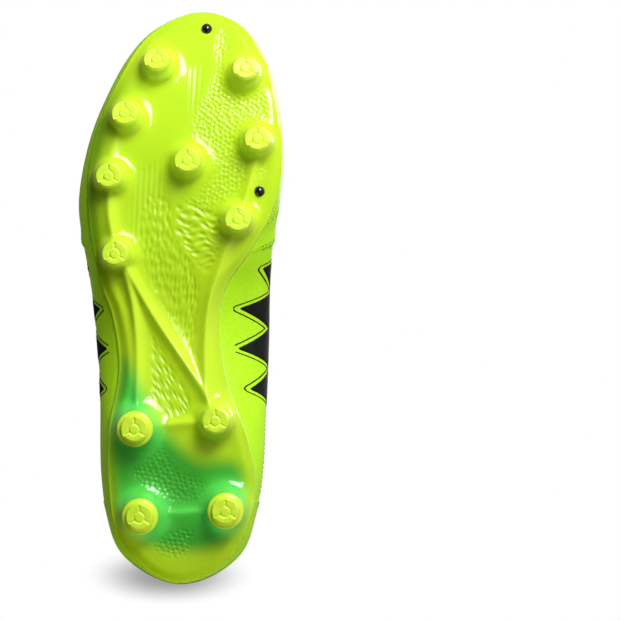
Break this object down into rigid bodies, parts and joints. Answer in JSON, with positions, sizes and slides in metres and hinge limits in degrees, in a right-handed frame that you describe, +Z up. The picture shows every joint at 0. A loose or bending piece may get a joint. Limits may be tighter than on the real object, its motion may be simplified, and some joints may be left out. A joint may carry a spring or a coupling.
{
  "type": "soccer cleat",
  "caption": "Low-cut soccer cleat for the right foot with a moulded plate of round studs, a gel heel pad and a padded tongue.",
  "frame": {"origin": "on the ground under the middle of the shoe's bounding box", "axes": "+X towards the toe, +Y towards the inner (medial) side of this right shoe, +Z up from the ground"},
  "size_m": [0.2839, 0.1018, 0.1062],
  "materials": {
    "plate": "glossy translucent lime polyurethane",
    "stud": "glossy opaque lime yellow polyurethane",
    "tack": "glossy black",
    "foam": "white closed-cell EVA foam",
    "gel": "soft translucent green gel",
    "board": "stiff grey non-woven board",
    "black_cloth": "black knitted polyester",
    "upper": "lime synthetic leather with a fine grain",
    "black_film": "black printed film, satin",
    "lining": "lime brushed polyester",
    "lace": "lime woven polyester",
    "aglet": "clear film tip"
  },
  "bodies": {
    "cleat": {"outsole_plate": "plate", "toe_lateral_stud": "stud", "front_lateral_stud": "stud", "ball_lateral_stud": "stud", "rear_lateral_stud": "stud", "toe_medial_stud": "stud", "ball_medial_stud": "stud", "rear_medial_stud": "stud", "centre_stud": "stud", "heel_front_lateral_stud": "stud", "heel_front_medial_stud": "stud", "heel_rear_lateral_stud": "stud", "heel_rear_medial_stud": "stud", "toe_tack": "tack", "ball_tack": "tack", "midsole_foam": "foam", "heel_gel_pad": "gel", "lasting_board": "board", "vamp": "upper", "heel_cover": "upper", "lateral_quarter": "upper", "medial_quarter": "upper", "lateral_eyestay": "upper", "medial_eyestay": "upper", "lateral_saddle": "black_film", "medial_saddle": "black_film", "heel_counter": "board", "toe_puff": "board", "vamp_lining": "lining", "heel_lining": "lining", "collar_padding": "lining", "lace": "lace", "lateral_aglet": "aglet", "medial_aglet": "aglet"},
    "sockliner": {"sockliner": "foam", "sockliner_cloth": "black_cloth"},
    "tongue": {"tongue": "upper"}
  },
  "joints": [
    {"name": "tongue_tilt", "type": "hinge", "parent": "cleat", "child": "tongue", "pos_m": [0.058, 0.004, 0.0555], "axis": [0, 1, 0], "range_deg": [-14, 0]},
    {"name": "sockliner_lift", "type": "hinge", "parent": "cleat", "child": "sockliner", "pos_m": [0.133, 0.007, 0.0305], "axis": [0, 1, 0], "range_deg": [0, 7]}
  ]
}
